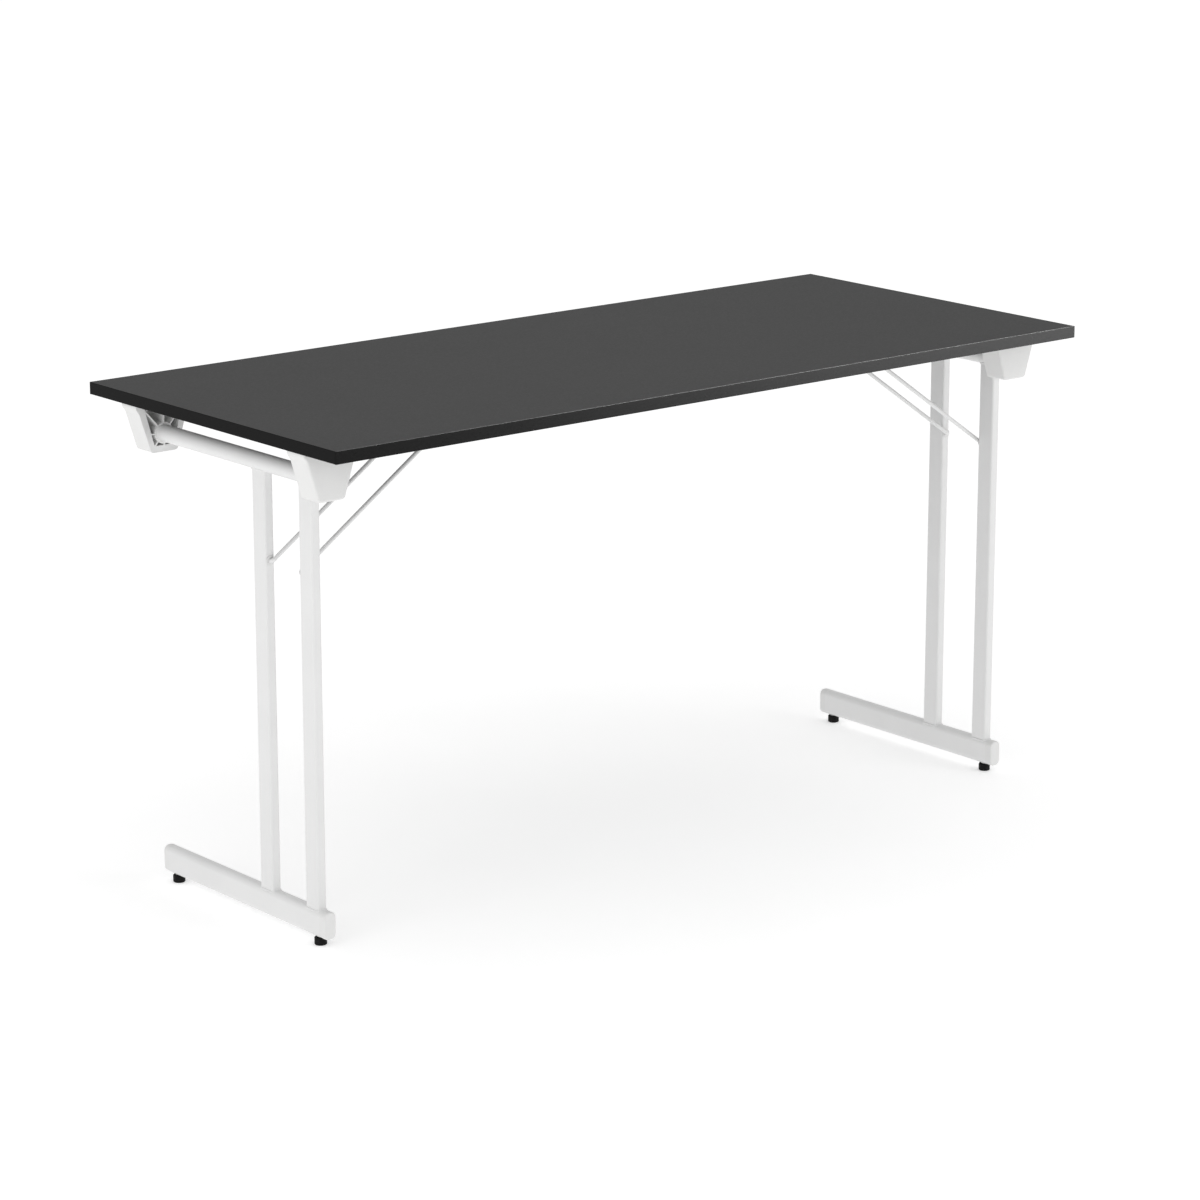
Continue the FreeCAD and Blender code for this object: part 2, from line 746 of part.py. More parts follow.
def make_side(side, sign):
    """Make one end of the table: brackets, leg frame, levelling feet, stay, lock and clip."""
    x = f"{sign} * hinge_place"
    turn = 0 if sign < 0 else 180
    for end, end_sign in ENDS.items():
        make_bracket(f"hinge_bracket_{side}_{end}", side, end)
        make_foot_cap(f"foot_cap_{side}_{end}", x, end_sign)
        make_glide(f"glide_{side}_{end}", x, f"{end_sign} * glide_place")
    make_hinge_tube(f"hinge_tube_{side}", x)
    make_leg(f"leg_{side}_front", x, "front_leg", 0)
    make_leg(f"leg_{side}_rear", x, "rear_leg", 180)
    make_foot_tube(f"foot_tube_{side}", x)
    make_inserts(f"foot_inserts_{side}", x)
    make_bushes(f"stay_bushes_{side}", x)
    make_stay(f"stay_{side}", sign)
    lock_x = f"{sign} * lock_place"
    make_lock_housing(f"lock_housing_{side}", lock_x, turn)
    make_latch(f"lock_latch_{side}", lock_x, turn)
    make_latch_pin(f"latch_pin_{side}", lock_x, -sign)
    make_latch_spring(f"latch_spring_{side}", lock_x, -sign)
    make_stay_clip(f"stay_clip_{side}", f"{sign} * {clip_place(side)}", turn)


def check_and_write():
    """Stop on any failed object or bad shape, then write one file for each sub-part."""
    doc.recompute()
    for thing in doc.Objects:
        if "Invalid" in thing.State or "Error" in thing.State:
            raise RuntimeError(f"{thing.Label}: {thing.State}")
    for node in nodes:
        if node.Shape.isNull() or not node.Shape.isValid():
            raise RuntimeError(f"{node.Label}: bad shape")
    os.makedirs("parts", exist_ok=True)
    for node in nodes:
        node.Shape.exportStep(f"parts/{node.Label}.step")
        print(f"{node.Label}: {len(node.Shape.Solids)} solids, {node.Shape.Volume:.0f} mm3")


sheet = make_sheet()
screws = all_screws()
make_board(screws)
make_edge_bands()
screw_set("bracket_screws", screws["bracket"], f"{UNDERSIDE} - boss_height + head_height")
screw_set("lock_screws", screws["lock"], f"{UNDERSIDE} - plate + head_height")
screw_set("clip_screws", screws["clip"], f"{UNDERSIDE} - plate + head_height")
for side, sign in SIDES.items():
    make_side(side, sign)
check_and_write()
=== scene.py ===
import json
import math

import bmesh
import bpy
from mathutils import Matrix, Vector


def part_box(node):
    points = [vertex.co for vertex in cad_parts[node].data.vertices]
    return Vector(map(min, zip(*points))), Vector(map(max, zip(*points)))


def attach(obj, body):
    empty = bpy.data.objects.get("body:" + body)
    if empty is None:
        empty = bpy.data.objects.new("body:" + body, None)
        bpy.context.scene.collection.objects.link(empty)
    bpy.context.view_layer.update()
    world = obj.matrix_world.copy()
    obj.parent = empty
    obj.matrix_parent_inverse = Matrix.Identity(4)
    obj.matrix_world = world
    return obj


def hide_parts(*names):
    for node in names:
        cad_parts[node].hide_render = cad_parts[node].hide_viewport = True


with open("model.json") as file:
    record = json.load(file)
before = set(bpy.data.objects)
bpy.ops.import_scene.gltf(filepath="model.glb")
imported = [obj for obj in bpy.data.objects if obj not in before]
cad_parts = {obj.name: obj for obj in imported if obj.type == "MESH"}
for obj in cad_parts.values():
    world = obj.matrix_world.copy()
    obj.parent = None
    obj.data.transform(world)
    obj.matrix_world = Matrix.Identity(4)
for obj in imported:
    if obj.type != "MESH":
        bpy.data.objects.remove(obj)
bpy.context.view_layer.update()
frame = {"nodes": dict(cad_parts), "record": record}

MM = 0.001
TOUCHING = 0.001 * MM

SIDES = {"left": -1, "right": 1}
ENDS = ("front", "rear")
# the axis that each edge of the board faces along, and its direction
EDGES = {"front": (1, -1), "rear": (1, 1), "left": (0, -1), "right": (0, 1)}

GLUE_GROOVE = 0.3 * MM
BAND_ROUND = 1.0 * MM
LEG_ROUND = 3 * MM
FOOT_ROUND = 8 * MM
BEAD = 1.55 * MM
SPRING_WIRE = 0.36 * MM
SCREW_SHANK = 2.0 * MM
SCREW_HEAD_HEIGHT = 2.4 * MM
SCREW_TIP = 3 * MM
FLOOR_GAP = 0.2 * MM

# most of a noise's values lie between these two
NOISE_LOW = 0.3
NOISE_HIGH = 0.7

WHITE = (1, 1, 1, 1)


# materials

class Surface:
    """A Principled material whose colour, roughness and relief come from procedural textures."""

    def __init__(self, name, roughness, metallic=0.0, specular=0.5):
        self.material = bpy.data.materials.new(name)
        self.material.use_nodes = True
        self.nodes = self.material.node_tree.nodes
        self.links = self.material.node_tree.links
        self.shader = self.nodes["Principled BSDF"]
        self.shader.inputs["Roughness"].default_value = roughness
        self.shader.inputs["Metallic"].default_value = metallic
        self.shader.inputs["Specular IOR Level"].default_value = specular
        self.place = self.nodes.new("ShaderNodeTexCoord").outputs["Object"]
        self.relief = None

    def stretched(self, scale):
        """Stretch the texture space, for marks that run one way."""
        mapping = self.nodes.new("ShaderNodeMapping")
        mapping.inputs["Scale"].default_value = scale
        self.links.new(self.place, mapping.inputs["Vector"])
        return mapping.outputs["Vector"]

    def noise(self, scale, detail=3.0, roughness=0.55, space=None):
        """Return a noise whose grains are about 1 / scale metres across."""
        node = self.nodes.new("ShaderNodeTexNoise")
        node.inputs["Scale"].default_value = scale
        node.inputs["Detail"].default_value = detail
        node.inputs["Roughness"].default_value = roughness
        self.links.new(space or self.place, node.inputs["Vector"])
        return node.outputs["Fac"]

    def cells(self, scale, feature="F1", space=None, output="Distance"):
        """Return a pattern of cells about 1 / scale metres across."""
        node = self.nodes.new("ShaderNodeTexVoronoi")
        node.feature = feature
        node.inputs["Scale"].default_value = scale
        self.links.new(space or self.place, node.inputs["Vector"])
        return node.outputs[output]

    def between(self, source, low, high):
        """Map a noise onto a range of plain numbers."""
        node = self.nodes.new("ShaderNodeMapRange")
        node.inputs["From Min"].default_value = NOISE_LOW
        node.inputs["From Max"].default_value = NOISE_HIGH
        node.inputs["To Min"].default_value = low
        node.inputs["To Max"].default_value = high
        self.links.new(source, node.inputs["Value"])
        return node.outputs["Result"]

    def ramp(self, source, stops):
        """Map a texture onto colours, given as (position, colour) pairs."""
        node = self.nodes.new("ShaderNodeValToRGB")
        steps = node.color_ramp.elements
        while len(steps) < len(stops):
            steps.new(0.5)
        for step, (position, colour) in zip(steps, stops):
            step.position = position
            step.color = (*colour, 1.0)
        self.links.new(source, node.inputs["Fac"])
        return node.outputs["Color"]

    def two_tone(self, source, first, second):
        """Let a noise wander between two colours."""
        return self.ramp(source, [(NOISE_LOW, first), (NOISE_HIGH, second)])

    def multiply(self, first, second):
        """Multiply one colour by another."""
        node = self.nodes.new("ShaderNodeMix")
        node.data_type = "RGBA"
        node.blend_type = "MULTIPLY"
        inputs = {socket.identifier: socket for socket in node.inputs}
        outputs = {socket.identifier: socket for socket in node.outputs}
        inputs["Factor_Float"].default_value = 1.0
        self.links.new(first, inputs["A_Color"])
        self.links.new(second, inputs["B_Color"])
        return outputs["Result_Color"]

    def colour(self, source):
        """Take the base colour from a texture."""
        self.links.new(source, self.shader.inputs["Base Color"])

    def rough(self, source):
        """Take the roughness from a texture."""
        self.links.new(source, self.shader.inputs["Roughness"])

    def bump(self, source, depth, strength):
        """Add a layer of relief, depth metres deep, on top of the layers before it."""
        node = self.nodes.new("ShaderNodeBump")
        node.inputs["Strength"].default_value = strength
        node.inputs["Distance"].default_value = depth
        self.links.new(source, node.inputs["Height"])
        if self.relief:
            self.links.new(self.relief, node.inputs["Normal"])
        self.relief = node.outputs["Normal"]
        self.links.new(self.relief, self.shader.inputs["Normal"])


def tone(grey, tint=(1.0, 1.0, 1.0)):
    """Return a grey of a given lightness, with a slight tint."""
    return tuple(grey * part for part in tint)


def laminate(name, grey):
    """Melamine laminate: even grey with a faint fleck and a fine pearl texture."""
    made = Surface(name, 0.7, specular=0.08)
    fleck = made.noise(900, 4, 0.7)
    cloud = made.noise(9, 4, 0.6)
    flecked = made.ramp(fleck, [(0.32, tone(grey * 0.86)), (0.5, tone(grey)), (0.7, tone(grey * 1.12))])
    clouded = made.two_tone(cloud, tone(0.97), tone(1.0))
    made.colour(made.multiply(flecked, clouded))
    made.rough(made.between(made.noise(260, 3), 0.66, 0.76))
    made.bump(made.cells(620, "SMOOTH_F1"), 0.06 * MM, 0.5)
    made.bump(fleck, 0.02 * MM, 0.6)
    return made.material


def edging(name):
    """Plastic edge band: near black, satin, with long trimming marks along the board's edges."""
    made = Surface(name, 0.3, specular=0.06)
    streak = made.noise(60, 4, 0.6, made.stretched((0.4, 0.4, 30)))
    made.colour(made.two_tone(streak, tone(0.0016), tone(0.0024)))
    made.rough(made.between(made.noise(300, 3), 0.27, 0.35))
    made.bump(streak, 0.03 * MM, 0.35)
    made.bump(made.noise(1400, 2), 0.01 * MM, 0.5)
    return made.material


def powder_coat(name):
    """White powder coat: orange peel about a millimetre across, and a little dust in the finish."""
    made = Surface(name, 0.4, specular=0.45)
    peel = made.noise(750, 2, 0.45)
    drift = made.noise(14, 3, 0.5)
    grain = made.noise(2600, 2, 0.6)
    dusty = tone(0.75, (1, 1, 0.996))
    clean = tone(0.79, (1, 1, 0.998))
    shade = made.two_tone(drift, tone(0.975), tone(1.0))
    made.colour(made.multiply(made.two_tone(grain, dusty, clean), shade))
    made.rough(made.between(peel, 0.34, 0.46))
    made.bump(peel, 0.07 * MM, 0.5)
    made.bump(made.noise(160, 2, 0.5), 0.12 * MM, 0.25)
    return made.material


def moulding(name, grey, fine=1500, roughness=(0.42, 0.55), tint=(1, 1, 0.992), specular=0.42):
    """Moulded plastic with a fine spark-eroded skin and faint flow marks."""
    made = Surface(name, roughness[0], specular=specular)
    skin = made.noise(fine, 3, 0.6)
    flow = made.noise(35, 4, 0.6, made.stretched((1.0, 1.0, 0.35)))
    base = made.two_tone(skin, tone(grey * 0.965, tint), tone(grey * 1.01, tint))
    marks = made.ramp(flow, [(0.3, tone(0.97)), (0.65, tone(1.0))])
    made.colour(made.multiply(base, marks))
    made.rough(made.between(flow, *roughness))
    made.bump(skin, 0.04 * MM, 0.5)
    return made.material


def plated_steel(name, light, dark, roughness):
    """Zinc-plated or oiled steel: drawn marks, a blotchy passivation and fine pits."""
    made = Surface(name, roughness, metallic=1.0)
    blotch = made.noise(220, 4, 0.6)
    drawn = made.noise(500, 3, 0.6, made.stretched((1.0, 1.0, 0.06)))
    yellowed = tone(light[0], (1.0, 0.985, 0.94))
    made.colour(made.ramp(blotch, [(0.3, dark), (0.55, light), (0.75, yellowed)]))
    made.rough(made.between(drawn, roughness - 0.08, roughness + 0.12))
    made.bump(drawn, 0.03 * MM, 0.4)
    made.bump(made.cells(1800), 0.015 * MM, 0.3)
    return made.material


def chipboard(name):
    """Raw particleboard: pressed chips of several shades with dark gaps between them."""
    made = Surface(name, 0.85, specular=0.2)
    pressed = made.stretched((1.0, 1.0, 2.2))
    chips = made.cells(420, space=pressed, output="Color")
    rims = made.cells(420, "DISTANCE_TO_EDGE", pressed)
    bark = (0.30, 0.20, 0.11)
    wood = (0.50, 0.37, 0.22)
    sapwood = (0.66, 0.52, 0.34)
    shade = made.ramp(chips, [(0.1, bark), (0.5, wood), (0.9, sapwood)])
    gaps = made.ramp(rims, [(0.0, tone(0.45)), (0.12, tone(1.0))])
    made.colour(made.multiply(shade, gaps))
    made.bump(chips, 0.3 * MM, 0.6)
    made.bump(made.noise(1500, 3), 0.1 * MM, 0.5)
    return made.material


def make_materials():
    """Make one material for each slot of the record."""
    zinc = tone(0.62, (1, 1, 1.01))
    blue_zinc = tone(0.50, (0.97, 1.0, 1.05))
    neutral = (1, 1, 1)
    return {
        "particleboard": chipboard("particleboard"),
        "top_laminate": laminate("top_laminate", 0.071),
        "underside_laminate": laminate("underside_laminate", 0.071),
        "edge_band": edging("edge_band"),
        "bracket_plastic": moulding("bracket_plastic", 0.785),
        "cap_plastic": moulding("cap_plastic", 0.765, 1200),
        "frame_paint": powder_coat("frame_paint"),
        "wire_paint": powder_coat("wire_paint"),
        "lock_plastic": moulding("lock_plastic", 0.78, 1300),
        "latch_plastic": moulding("latch_plastic", 0.76, 1100, (0.36, 0.48)),
        "pad_plastic": moulding("pad_plastic", 0.004, 900, (0.5, 0.65), neutral, 0.15),
        "bush_plastic": moulding("bush_plastic", 0.74, 1000, (0.3, 0.4)),
        "spring_steel": plated_steel("spring_steel", tone(0.42), tone(0.30), 0.3),
        "zinc_steel": plated_steel("zinc_steel", zinc, blue_zinc, 0.32),
    }


# pieces

def finish_piece(name, shape, body, slot, replaced=(), sharp=35.0, crisp=False):
    """Turn a bmesh into an object that rides on a body, with its slot's material."""
    mesh = bpy.data.meshes.new(name)
    bmesh.ops.recalc_face_normals(shape, faces=shape.faces)
    shape.to_mesh(mesh)
    shape.free()
    piece = bpy.data.objects.new(name, mesh)
    bpy.context.scene.collection.objects.link(piece)
    mesh.polygons.foreach_set("use_smooth", [True] * len(mesh.polygons))
    mesh.set_sharp_from_angle(angle=math.radians(sharp))
    mesh.materials.append(MATERIALS[slot])
    if crisp:
        weigh_normals(piece)
    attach(piece, body)
    if replaced:
        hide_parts(*replaced)
    return piece


def weigh_normals(piece):
    """Keep large flat faces flat where they meet small rounded ones."""
    weighted = piece.modifiers.new("weighted_normals", "WEIGHTED_NORMAL")
    weighted.mode = "FACE_AREA"
    weighted.keep_sharp = True


def add_grid(shape, rings, closed_ends=False, capped=False):
    """Skin a list of closed rings of points, each ring with the same count."""
    made = [[shape.verts.new(point) for point in ring] for ring in rings]
    count = len(made[0])
    spans = list(zip(made, made[1:]))
    if closed_ends:
        spans.append((made[-1], made[0]))
    for here, there in spans:
        for i in range(count):
            j = (i + 1) % count
            shape.faces.new((here[i], here[j], there[j], there[i]))
    if capped:
        shape.faces.new(list(reversed(made[0])))
        shape.faces.new(made[-1])
    return made


def add_rounded_box(shape, low, high, rounds):
    """Add a box, then round the edges that each (radius, segments, test) picks by their middle."""
    middle = (low + high) / 2
    size = high - low
    placed = Matrix.Translation(middle) @ Matrix.Diagonal((*size, 1.0))
    bmesh.ops.create_cube(shape, size=1.0, matrix=placed)
    for radius, segments, chosen in rounds:
        edges = [edge for edge in shape.edges if chosen((edge.verts[0].co + edge.verts[1].co) / 2)]
        bmesh.ops.bevel(shape, geom=edges, offset=radius, segments=segments, profile=0.5,
                        affect="EDGES", clamp_overlap=True)


def islands(node, reach=8 * MM):
    """List the low and high corners of each upright solid in a grouped CAD node."""
    found = []
    for vertex in frame["nodes"][node].data.vertices:
        spot = vertex.co

        def is_near(corners):
            gap = corners[0] - spot
            return abs(gap.x) < reach and abs(gap.y) < reach

        near = next(filter(is_near, found), None)
        if near is None:
            found.append([spot.copy(), spot.copy()])
        else:
            near[0] = Vector(map(min, near[0], spot))
            near[1] = Vector(map(max, near[1], spot))
    return found


def make_top_sheet():
    """Give the top laminate a crisp sheet whose rim turns down into the glue line."""
    low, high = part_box("top_laminate")
    shape = bmesh.new()
    add_rounded_box(shape, low, high, [(GLUE_GROOVE, 2, lambda spot: spot.z > high.z - TOUCHING)])
    finish_piece("top_sheet", shape, "top", "top_laminate", ("top_laminate",), crisp=True)


def make_edge_strip(label, axis, sign):
    """Round the outer edges of one edge band, and leave a fine glue line where it meets the board."""
    node = f"edge_band_{label}"
    low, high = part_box(node)
    outer = low[axis] if sign < 0 else high[axis]
    inner = high[axis] if sign < 0 else low[axis]
    along = 1 - axis
    has_corners = label in ENDS

    def is_outer(spot):
        is_side = abs(spot[axis] - outer) < TOUCHING
        is_end = has_corners and min(spot[along] - low[along], high[along] - spot[along]) < TOUCHING
        return is_side or (is_end and abs(spot[axis] - inner) > TOUCHING)

    def is_glue_line(spot):
        is_rim = spot.z > high.z - TOUCHING or spot.z < low.z + TOUCHING
        return is_rim and abs(spot[axis] - inner) < TOUCHING

    shape = bmesh.new()
    add_rounded_box(shape, low, high, [(GLUE_GROOVE, 2, is_glue_line), (BAND_ROUND, 6, is_outer)])
    finish_piece(f"edge_strip_{label}", shape, "top", "edge_band", (node,), crisp=True)


def make_board():
    """Dress the board with its top sheet and its four edge strips."""
    make_top_sheet()
    for label, (axis, sign) in EDGES.items():
        make_edge_strip(label, axis, sign)


def circle(radius, z, turns):
    """List points round a level circle about the z axis."""
    angles = [2 * math.pi * turn / turns for turn in range(turns)]
    return [(radius * math.cos(angle), radius * math.sin(angle), z) for angle in angles]


def thread_rings(low, high, root, crest, pitch, turns=36):
    """List the rings of a threaded rod: the radius follows a helical ridge, with a plain lead-in."""
    rings_per_pitch = 10
    crest_width = 1.35
    rings = []
    steps = max(8, round((high - low) / pitch * rings_per_pitch))
    for step in range(steps + 1):
        z = low + (high - low) * step / steps
        lead = min(1.0, (z - low) / pitch, (high - z) / pitch)
        ring = []
        for turn in range(turns):
            phase = (z / pitch - turn / turns) % 1.0
            ridge = 1.0 - abs(2.0 * phase - 1.0)
            radius = root + (crest - root) * min(1.0, crest_width * ridge) * max(0.0, lead)
            angle = 2 * math.pi * turn / turns
            ring.append((radius * math.cos(angle), radius * math.sin(angle), z))
        rings.append(ring)
    return rings


def moved(rings, middle):
    """Carry rings from the z axis to the upright axis through a point."""
    return [[(x + middle.x, y + middle.y, z) for x, y, z in ring] for ring in rings]


def make_stems():
    """Give each levelling foot a stem with a rolled thread."""
    root = 3.35 * MM
    crest = 3.98 * MM
    pitch = 1.25 * MM
    for side in SIDES:
        for end in ENDS:
            node = f"glide_{side}_{end}_stem"
            low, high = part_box(node)
            middle = (low + high) / 2
            shape = bmesh.new()
            rings = thread_rings(low.z, high.z, root, crest, pitch)
            add_grid(shape, moved(rings, middle), capped=True)
            name = f"threaded_stem_{side}_{end}"
            finish_piece(name, shape, f"levelling_{side}_{end}", "zinc_steel", (node,), sharp=60)


def screw_rings(low, high, head, turns=32):
    """List the rings of a countersunk wood screw, head down: head, thread and tapered tip."""
    neck = low + SCREW_HEAD_HEIGHT
    tip = high - SCREW_TIP
    profile = [
        (head - 0.15 * MM, low),
        (head, low + 0.25 * MM),
        (SCREW_SHANK, neck),
        (SCREW_SHANK * 0.95, neck + 1.2 * MM),
    ]
    plain = [circle(radius, z, turns) for radius, z in profile]
    thread = thread_rings(neck + 1.5 * MM, tip, SCREW_SHANK * 0.72, SCREW_SHANK, 1.8 * MM, turns)
    point = []
    for share in (0.66, 0.33, 0.06):
        z = high + (tip - high) * share
        point.append([(x * share, y * share, z) for x, y, _ in thread[-1]])
    return plain + thread + point


def add_screw(shape, low, high):
    """Add a screw that fills a box, with a cross recess in its head."""
    middle = (low + high) / 2
    head = (high.x - low.x) / 2
    made = add_grid(shape, moved(screw_rings(low.z, high.z, head), middle))
    shape.faces.new(made[-1])
    add_cross_recess(shape, made[0], Vector((middle.x, middle.y, low.z)), head)


def add_cross_recess(shape, rim, middle, head):
    """Close a screw head with a cross-shaped recess, 1.6 mm deep."""
    half = 0.45 * MM
    reach = 0.58 * head
    shoulder = reach * 0.6
    depth = Vector((0, 0, 1.6 * MM))
    arm = ((half, half), (shoulder, half), (reach, half * 0.8), (reach, -half * 0.8), (shoulder, -half))
    outline = []
    for quarter in range(4):
        turn = Matrix.Rotation(quarter * math.pi / 2, 3, "Z")
        outline += [turn @ Vector((x, y, 0)) for x, y in arm]
    outline.sort(key=lambda spot: math.atan2(spot.y, spot.x))
    top = [shape.verts.new(middle + spot) for spot in outline]
    floor = [shape.verts.new(middle + spot * 0.55 + depth) for spot in outline]
    count = len(outline)
    for i in range(count):
        j = (i + 1) % count
        shape.faces.new((top[i], floor[i], floor[j], top[j]))
    shape.faces.new(floor)
    bmesh.ops.triangle_fill(shape, use_beauty=True, edges=ring_edges(rim) + ring_edges(top))


def ring_edges(ring):
    """List the edges that join neighbouring vertices of a closed ring."""
    edges = []
    for here, there in zip(ring, ring[1:] + ring[:1]):
        shared = next(edge for edge in here.link_edges if edge.other_vert(here) is there)
        edges.append(shared)
    return edges


def make_screws():
    """Give the board's three sets of screws their threads and cross recesses."""
    for node in ("bracket_screws", "lock_screws", "clip_screws"):
        shape = bmesh.new()
        for low, high in islands(node):
            add_screw(shape, low, high)
        finish_piece(f"cross_head_{node}", shape, "top", "zinc_steel", (node,))


def coil_path(low, high, turns=4, steps_per_turn=28):
    """List points along a coil of spring wire that fills a box, wound round the y direction."""
    middle = (low + high) / 2
    radius = (high.x - low.x) / 2 - SPRING_WIRE
    steps = turns * steps_per_turn
    path = []
    for step in range(steps + 1):
        angle = 2 * math.pi * turns * step / steps
        x = middle.x + radius * math.cos(angle)
        y = low.y + SPRING_WIRE + (high.y - low.y - 2 * SPRING_WIRE) * step / steps
        z = middle.z + radius * math.sin(angle)
        path.append(Vector((x, y, z)))
    return path


def make_springs():
    """Wind the torsion spring of each latch round its pin, with one leg on the lever."""
    for side, sign in SIDES.items():
        node = f"latch_spring_{side}"
        low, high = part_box(node)
        coil = coil_path(low, high)
        leg = Vector((-sign * 4.5 * MM, 0, 0.4 * MM))
        path = [coil[0] + leg, coil[0] + leg / 2] + coil
        shape = bmesh.new()
        add_grid(shape, tube_rings(path, lambda step: SPRING_WIRE), capped=True)
        finish_piece(f"latch_coil_{side}", shape, "top", "spring_steel", (node,), sharp=60)


def tube_rings(path, radius_at, closed=False, sides=10):
    """Sweep a circle along a path, keeping its twist small."""
    count = len(path)
    normal = None
    rings = []
    for i, spot in enumerate(path):
        before = path[i - 1] if closed or i else path[0]
        after = path[(i + 1) % count] if closed or i < count - 1 else path[-1]
        along = (after - before).normalized()
        if normal is None:
            normal = along.orthogonal().normalized()
        normal = (normal - along * normal.dot(along)).normalized()
        across = along.cross(normal)
        radius = radius_at(i)
        ring = []
        for side in range(sides):
            angle = 2 * math.pi * side / sides
            ring.append(spot + (normal * math.cos(angle) + across * math.sin(angle)) * radius)
        rings.append(ring)
    return rings


def leg_corners(low, high, steps=10):
    """List points round the four corner arcs of a leg's section, as offsets from its middle."""
    half_x = (high.x - low.x) / 2 - LEG_ROUND
    half_y = (high.y - low.y) / 2 - LEG_ROUND
    points = []
    for quarter, (side_x, side_y) in enumerate(((1, 1), (-1, 1), (-1, -1), (1, -1))):
        for step in range(steps + 1):
            angle = math.pi / 2 * (quarter + step / steps)
            x = side_x * half_x + LEG_ROUND * math.cos(angle)
            y = side_y * half_y + LEG_ROUND * math.sin(angle)
            points.append((x, y))
    return points


def leg_outline(low, high, spacing=1.2 * MM):
    """List evenly close points round a leg's section, as offsets from its middle."""
    points = leg_corners(low, high)
    outline = []
    for (x, y), (next_x, next_y) in zip(points, points[1:] + points[:1]):
        run_x = next_x - x
        run_y = next_y - y
        pieces = max(1, round(math.hypot(run_x, run_y) / spacing))
        outline += [(x + run_x * piece / pieces, y + run_y * piece / pieces) for piece in range(pieces)]
    return outline


def top_weld_path(side, outline, middle):
    """Bend a leg's outline to the round hinge tube, and keep it clear of the front bracket."""
    low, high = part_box(f"hinge_tube_{side}")
    tube_middle = (low + high) / 2
    tube_radius = (high.z - low.z) / 2
    face_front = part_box(f"hinge_bracket_{side}_front")[1].y + 1.3 * BEAD
    path = []
    for x, y in outline:
        drop = math.sqrt(tube_radius ** 2 - x ** 2)
        path.append(Vector((middle.x + x, max(face_front, middle.y + y), tube_middle.z - drop)))
    return path


def foot_weld_path(side, outline, middle):
    """Bend a leg's outline to the rounded top of the foot tube."""
    low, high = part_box(f"foot_tube_{side}")
    flat = (high.x - low.x) / 2 - FOOT_ROUND
    path = []
    for x, y in outline:
        past_flat = max(0.0, abs(x) - flat)
        rise = math.sqrt(FOOT_ROUND ** 2 - past_flat ** 2) - FOOT_ROUND
        path.append(Vector((middle.x + x, middle.y + y, high.z + rise)))
    return path


def make_bead(name, side, path):
    """Lay one painted weld bead along a closed path."""
    shape = bmesh.new()
    add_grid(shape, tube_rings(path, bead_radius, closed=True), closed_ends=True)
    finish_piece(name, shape, f"frame_{side}", "frame_paint", (), sharp=180)


def make_welds():
    """Run a weld bead round each leg where it meets the hinge tube and the foot tube."""
    for side in SIDES:
        for end in ENDS:
            low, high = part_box(f"leg_{side}_{end}")
            middle = (low + high) / 2
            outline = leg_outline(low, high)
            make_bead(f"weld_{side}_{end}_top", side, top_weld_path(side, outline, middle))
            make_bead(f"weld_{side}_{end}_foot", side, foot_weld_path(side, outline, middle))


def bead_radius(step):
    """Give the bead its ripples, with a slower swell from an uneven hand."""
    ripple = 0.10 * math.sin(step * 1.9)
    swell = 0.09 * math.sin(step * 0.37 + 1.0)
    return BEAD * (1 + ripple + swell)


def dress_cad_nodes():
    """Give every CAD node the material of its slot."""
    slots = {row["node"]: row["material_slot"] for row in frame["record"]["subparts"]}
    for name, node in frame["nodes"].items():
        node.data.materials.clear()
        node.data.materials.append(MATERIALS[slots[name]])


# stage, light and camera

def make_floor():
    """Lay a plain pale floor, with a slight glow of its own, under the pads."""
    glow = 0.31
    half_width = 40.0
    made = Surface("pale_floor", 0.9, specular=0.1)
    made.colour(made.two_tone(made.noise(3, 3), tone(0.93), tone(0.95)))
    made.bump(made.noise(400, 2), 0.05 * MM, 0.2)
    made.shader.inputs["Emission Color"].default_value = WHITE
    made.shader.inputs["Emission Strength"].default_value = glow
    shape = bmesh.new()
    bmesh.ops.create_grid(shape, x_segments=1, y_segments=1, size=half_width)
    mesh = bpy.data.meshes.new("floor")
    shape.to_mesh(mesh)
    shape.free()
    mesh.materials.append(made.material)
    floor = bpy.data.objects.new("floor", mesh)
    floor.location.z = -FLOOR_GAP
    bpy.context.scene.collection.objects.link(floor)


def make_surround(brightness):
    """Surround the table with an even white."""
    world = bpy.data.worlds.new("surround")
    world.use_nodes = True
    background = world.node_tree.nodes["Background"]
    background.inputs["Color"].default_value = WHITE
    background.inputs["Strength"].default_value = brightness
    bpy.context.scene.world = world


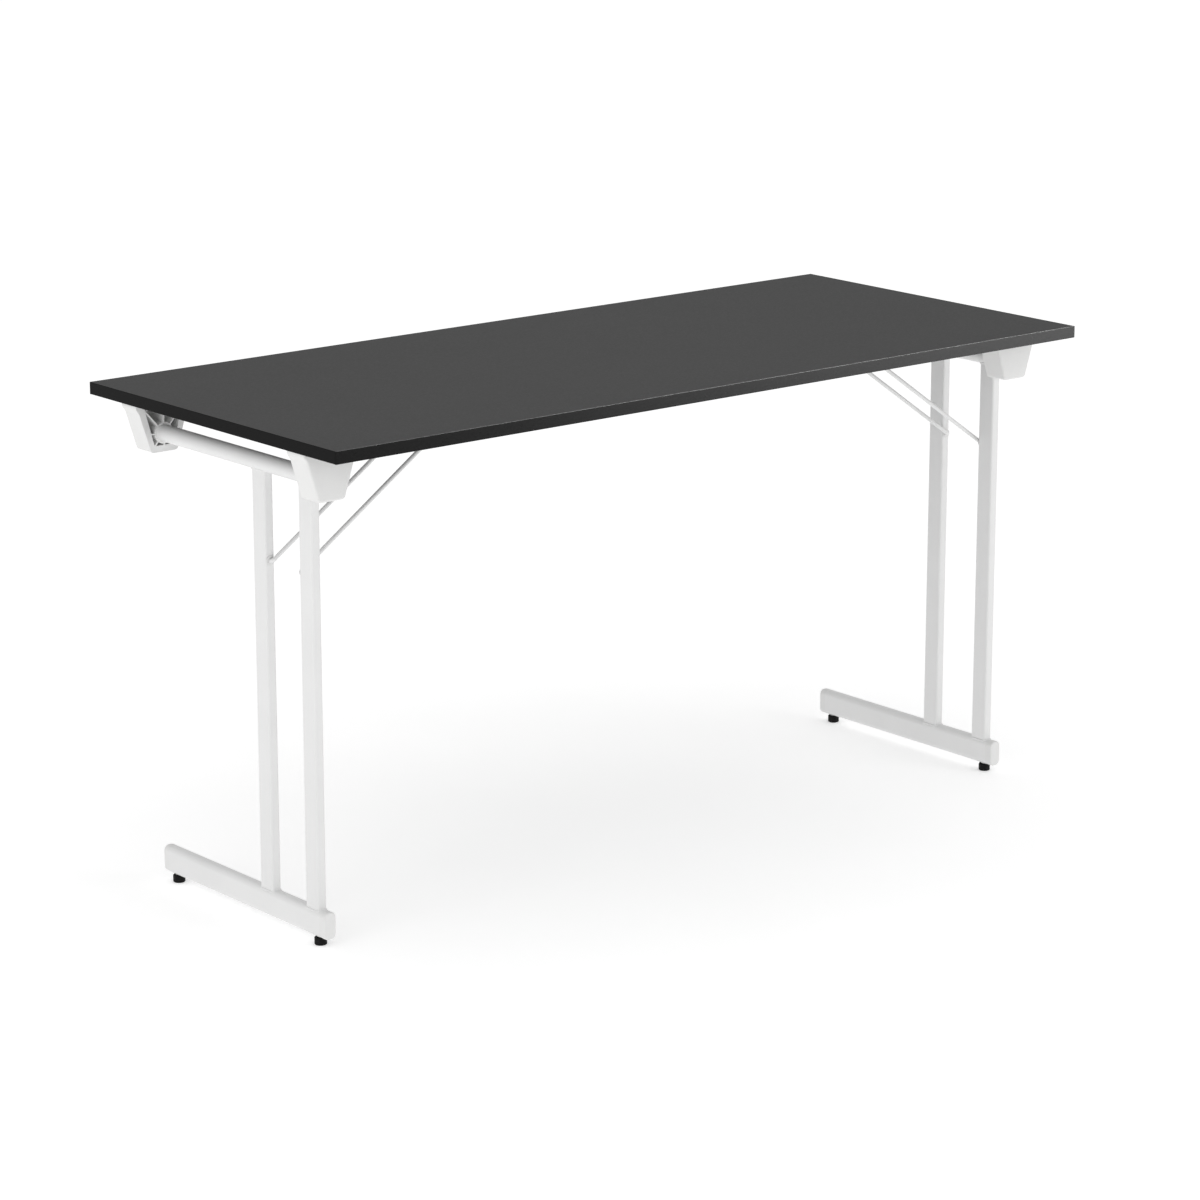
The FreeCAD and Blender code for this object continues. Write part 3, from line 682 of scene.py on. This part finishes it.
def make_soft_box(name, place, target, size, radiance):
    """Add a rectangular soft box that looks at a point, given how bright its face is."""
    light = bpy.data.lights.new(name, "AREA")
    light.shape = "RECTANGLE"
    light.size, light.size_y = size
    light.energy = radiance * math.pi * size[0] * size[1]
    lamp = bpy.data.objects.new(name, light)
    lamp.location = place
    lamp.rotation_euler = (Vector(target) - Vector(place)).to_track_quat("-Z", "Y").to_euler()
    bpy.context.scene.collection.objects.link(lamp)
    return lamp


def keep_to_edge_strips(cards):
    """Let cards light nothing but the gloss of the edge strips."""
    strips = bpy.data.collections.new("edge_strips")
    for label in EDGES:
        strips.objects.link(bpy.data.objects[f"edge_strip_{label}"])
    for card in cards:
        card.visible_diffuse = False
        card.light_linking.receiver_collection = strips


def make_light():
    """Light the table from a white surround and two soft boxes, with two cards for the edge strips."""
    make_surround(0.77)
    make_soft_box("left_box", place=(-3.4, -0.8, 1.4), target=(-0.6, 0, 0.4), size=(1.6, 1.6), radiance=1.6)
    make_soft_box("right_box", place=(2.6, -3.8, 1.3), target=(0.4, 0, 0.4), size=(1.6, 1.6), radiance=3.2)
    gloss_card = make_soft_box("gloss_card", place=(2.6, -2.35, 0.45), target=(0.2, -0.3, 0.7),
                               size=(1.7, 1.4), radiance=17.0)
    rim_card = make_soft_box("rim_card", place=(3.1, -1.8, 3.5), target=(0.1, -0.3, 0.73),
                             size=(2.8, 2.2), radiance=160.0)
    keep_to_edge_strips((gloss_card, rim_card))


def make_camera():
    """Look down at the table from the front left, through a long lens."""
    downward = 14.637
    rightward = 39.575
    camera = bpy.data.cameras.new("camera")
    camera.lens = 120.0
    camera.sensor_width = 36.0
    camera.clip_start, camera.clip_end = 0.1, 200.0
    eye = bpy.data.objects.new("camera", camera)
    eye.location = (-3.720, -4.502, 1.878)
    eye.rotation_euler = (math.radians(90 - downward), 0, math.radians(-rightward))
    bpy.context.scene.collection.objects.link(eye)
    bpy.context.scene.camera = eye


bpy.context.scene.view_settings.view_transform = "Standard"
MATERIALS = make_materials()
make_camera()
dress_cad_nodes()
make_board()
make_stems()
make_screws()
make_springs()
make_welds()
make_floor()
make_light()
